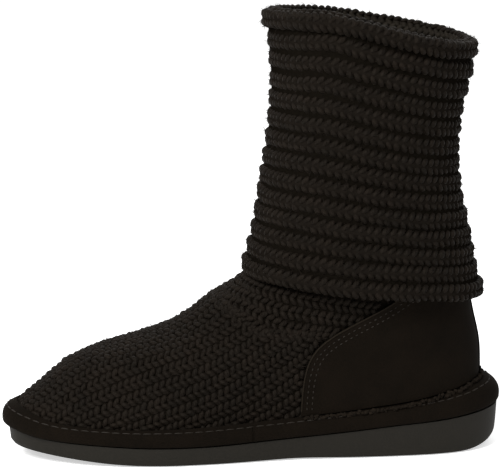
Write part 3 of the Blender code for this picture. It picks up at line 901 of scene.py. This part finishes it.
# %% Knit the ankle
SEAM_KNIT = {"pitch": 3.6 * MM, "spread": 1.2 * MM, "slant": math.radians(40), "sunk": 0.9 * MM,
             "tilt": math.radians(20)}
ANKLE_KNIT = {"pitch": 4.0 * MM, "spread": 1.95 * MM, "slant": math.radians(48), "sunk": 0.9 * MM,
              "tilt": math.radians(18)}
ankle = stitches(ankle_line(seam_at), closed=False, keep=off_counter, **SEAM_KNIT)
for step in range(-2, 4):
    row = ankle_line(rib_height(step))
    if len(row) > 4:
        ankle += stitches(row, closed=False, keep=on_ankle, **ANKLE_KNIT)
sewn("ankle_yarn", leg, ankle, wool)

# %% [markdown]
# ## Sewing thread
#
# Two kinds of stitch hold the suede. Long ones run along the top of the band, and two rows of short
# ones lie behind the front edge of the heel panel. The thread is paler than the leather, so the
# rows show as fine dashes. Each dash is a thin spindle like a leg of yarn.


# %% The seam along the top of the band
BAND_HEIGHTS = [0.012 + 0.002 * i for i in range(12)]
BAND_HALF_LENGTH, BAND_SQUASH = 0.088, 0.6
AS_WIDE = 0.0008
DROP_FROM, DROP_TO = Vector((0, 0, 0.05)), Vector((0, 0, 0.01))
THREAD_SHARE, THREAD_LIFT = 0.38, 0.00005


def band_line(inward, count=420):
    """Points and normals on top of the band, at a share of its width in from its outer face."""
    line = []
    for i in range(count):
        turn = 2 * math.pi * i / count
        level = Vector((-math.cos(turn) * BAND_SQUASH, -math.sin(turn), 0.0)).normalized()
        found = []
        for z in BAND_HEIGHTS:
            base = Vector((-math.cos(turn) * BAND_HALF_LENGTH, 0.0, z))
            face, _ = struck(rand_guide, base + level * FAR_OUT, base)
            if face is not None:
                found.append(((face - base).dot(level), face, base))
        widest = max(reach for reach, _, _ in found)
        level_with = [row for row in found if row[0] > widest - AS_WIDE]
        _, face, base = level_with[len(level_with) // 2]
        wall, _ = struck(upper_guide, base + level * FAR_OUT, base)
        at = face.lerp(wall, inward)
        top, normal = struck(rand_guide, at + DROP_FROM, at - DROP_TO)
        if top is not None:
            line.append((np.array(top), np.array(normal if normal.z > 0 else -normal)))
    return line


def dashes(points, pitch, closed):
    """Thread stitches lying along a line."""
    return [(place + normal * THREAD_LIFT, tangent, normal)
            for place, tangent, normal in zip(*resample(points, pitch, closed))]


LONG_PITCH, SHORT_PITCH = 5.4 * MM, 3.1 * MM
long_stitch = yarn_leg(4.3 * MM, 0.34 * MM, 3.0)
short_stitch = yarn_leg(1.5 * MM, 0.30 * MM, 2.0)
band_seam = dashes(band_line(THREAD_SHARE), LONG_PITCH, True)
sewn("band_thread", long_stitch, band_seam, thread)


# %% The seams of the heel panel
EDGE_LOW, EDGE_HIGH = 0.0255, 0.0890
BARE_X, HIDDEN_X, INSIDE_EDGE = 0.010, 0.080, 0.0003
SEAM_DISTANCES = (2.7 * MM, 5.4 * MM)


def on_panel(x, z, side):
    """The outer face of the heel panel straight in from the side, or nothing."""
    return struck(counter_guide, Vector((x, side * 0.1, z)), Vector((x, 0.0, z)))


def panel_edge(side, count=60):
    """The front edge of the heel panel on one side of the foot, from the band up."""
    line = []
    for i in range(count):
        z = EDGE_LOW + (EDGE_HIGH - EDGE_LOW) * i / (count - 1)
        bare, hidden = BARE_X, HIDDEN_X
        for _ in range(16):
            x = (bare + hidden) / 2
            if on_panel(x, z, side)[0] is None:
                bare = x
            else:
                hidden = x
        spot, _ = on_panel(hidden + INSIDE_EDGE, z, side)
        if spot is not None:
            line.append(spot)
    return line


def set_back(edge, distance, side):
    """The line on the panel at a distance behind its front edge."""
    line = []
    for i, spot in enumerate(edge):
        run = edge[min(i + 2, len(edge) - 1)] - edge[max(i - 2, 0)]
        back = Vector((run.z, 0.0, -run.x)).normalized() * distance
        place, normal = on_panel(spot.x + back.x, spot.z + back.z, side)
        if place is not None:
            line.append((np.array(place), np.array(normal if normal.y * side > 0 else -normal)))
    return line


edges = {side: panel_edge(side) for side in (-1, 1)}
rows = []
for side, edge in edges.items():
    for distance in SEAM_DISTANCES:
        rows += dashes(set_back(edge, distance, side), SHORT_PITCH, False)
sewn("panel_thread", short_stitch, rows, thread)

# %% [markdown]
# ## Cut edges and the join of the band
#
# Suede is cut, not folded, at the front of the heel panel, and the pale core shows as a thin line.
# The band's two ends meet at the waist on the inner side: a gap with a raised lip behind it. The gap's
# shade is painted, as a cord in the backing's dark finish.


# %% Lay the cords of the cut edge and the join
EDGE_CORD, JOIN_CORD = 0.38 * MM, 0.32 * MM
JOIN_CORE_Y, JOIN_CORE_Z = -0.0385, 0.0155
JOIN_FROM, JOIN_SWEEP, JOIN_STEPS = -38, 125, 11
for side, edge in edges.items():
    cord_on("panel_cut_edge_" + ("inner" if side < 0 else "outer"), [edge], EDGE_CORD, cut_edge)

# painted shade: the join is a cord in the dark backing finish; the lip is one in suede
for name, x, finish in (("band_join", -0.0030, shaded_ground), ("band_join_lip", -0.0023, suede)):
    join = []
    core = Vector((x, JOIN_CORE_Y, JOIN_CORE_Z))
    for i in range(JOIN_STEPS + 1):
        angle = math.radians(JOIN_FROM + JOIN_SWEEP * i / JOIN_STEPS)
        out = Vector((0.0, -math.cos(angle), math.sin(angle)))
        spot, _ = struck(rand_guide, core + out * CLOSE_BY, core)
        if spot is not None:
            join.append(spot)
    cord_on(name, [join], JOIN_CORD, finish)

# %% [markdown]
# ## The gathered lip of the band
#
# Round the heel the band's upper edge is sewn to the panel with its rough side out. The long stitches
# draw it into small gathers, which show as a soft, uneven lip above the thread. It is made of some
# three hundred little tufts, laid roughly along the corner between band and panel.


# %% Lay the lip along the band's top edge
LIP_SHARE, LIP_RISE, LIP_OUT = 0.45, 4.5 * MM, 0.7 * MM
CORNER_REACH = 0.014
TUFTS, TUFT_PITCH, TUFT_MESS, TUFT_TURN = 2, 1.5 * MM, 0.4 * MM, 0.5


def lip_line():
    """Points in the corner between the band's top and the heel panel, round the heel."""
    line = []
    for place, _ in band_line(LIP_SHARE):
        start = Vector(place) + Vector((0.0, 0.0, LIP_RISE))
        near = upper_guide.find_nearest(start)[0]
        level = Vector((start.x - near.x, start.y - near.y, 0.0)).normalized()
        face, _ = struck(counter_guide, start + level * 0.004, start - level * 0.02)
        if face is not None and (face - start).length < CORNER_REACH:
            at = face + level * LIP_OUT
            top, _ = struck(rand_guide, at + Vector((0, 0, 0.02)), at - Vector((0, 0, 0.01)))
            if top is not None:
                line.append((np.array(top), np.array((level + Vector((0, 0, 1))).normalized())))
    return line


tuft = yarn_leg(2.6 * MM, 0.8 * MM, 1.0)
tufts = []
for place, tangent, normal in zip(*resample(lip_line(), TUFT_PITCH, False)):
    for _ in range(TUFTS):
        along = tangent + chance.normal(0, TUFT_TURN, 3)
        along /= np.linalg.norm(along)
        out = normal - along * np.dot(normal, along)
        spot = place + normal * chance.uniform(0.1, 1.5) * MM + chance.normal(0, TUFT_MESS, 3)
        tufts.append((spot, along, out / np.linalg.norm(out)))
sewn("band_gathers", tuft, tufts, raw_suede, wobble=0.25)

# %% [markdown]
# ## Loose fibres
#
# Wool is hairy. Some thousands of fine fibres stand off the loops at all angles; they soften the
# outline of the boot, which is what tells wool from cord at a glance.


# %% One fibre, bent and tapered
HAIR_THICK, HAIR_TIP, HAIR_BEND = 0.10 * MM, 0.03 * MM, 0.28 * MM
hair_shape = bmesh.new()
bmesh.ops.create_cone(hair_shape, cap_ends=False, segments=3, radius1=HAIR_THICK, radius2=HAIR_TIP,
                      depth=1.0 * MM)
lengthwise = [e for e in hair_shape.edges if abs(e.verts[0].co.z - e.verts[1].co.z) > 0.5 * MM]
bmesh.ops.subdivide_edges(hair_shape, edges=lengthwise, cuts=2)
for v in hair_shape.verts:
    along = v.co.z + 0.5 * MM
    v.co = Vector((along, v.co.y, v.co.x + HAIR_BEND * (along / MM) ** 2))
hair_mesh = bpy.data.meshes.new("hair")
hair_shape.to_mesh(hair_mesh)
hair_shape.free()
hair = bpy.data.objects.new("hair", hair_mesh)


# %% Scatter the fibres
CUFF_HAIRS, FOOT_HAIRS = 5200, 2000
LONGER = np.array([2.2, 1.0, 1.6])
ROUND_LEG, ALONG_LEG, ROOT_DEPTH, HAIR_MESS = 1.3, 0.35, 0.9, 0.8


def fuzz(name, legs, count):
    """Fibres with their roots in legs picked at random, as one mesh."""
    hairs = []
    for pick in chance.integers(0, len(legs), count):
        spot, along, out = legs[pick]
        side = np.cross(out, along)
        angle = chance.uniform(-ROUND_LEG, ROUND_LEG)
        lengthways = along * chance.uniform(-ALONG_LEG, ALONG_LEG) * LEG
        radial = out * math.cos(angle) + side * math.sin(angle)
        root = spot + lengthways + radial * YARN * ROOT_DEPTH
        way = out * chance.uniform(0.2, 1.0)
        way = way + side * chance.normal(0, HAIR_MESS) + along * chance.normal(0, HAIR_MESS)
        way /= np.linalg.norm(way)
        up = np.cross(way, chance.normal(0, 1, 3))
        hairs.append((root, way, up / np.linalg.norm(up)))
    sewn(name, hair, hairs, wool, wobble=0.5, stretch=LONGER)


fuzz("cuff_fuzz", low + high + fold, CUFF_HAIRS)
fuzz("foot_fuzz", vamp + ankle, FOOT_HAIRS)
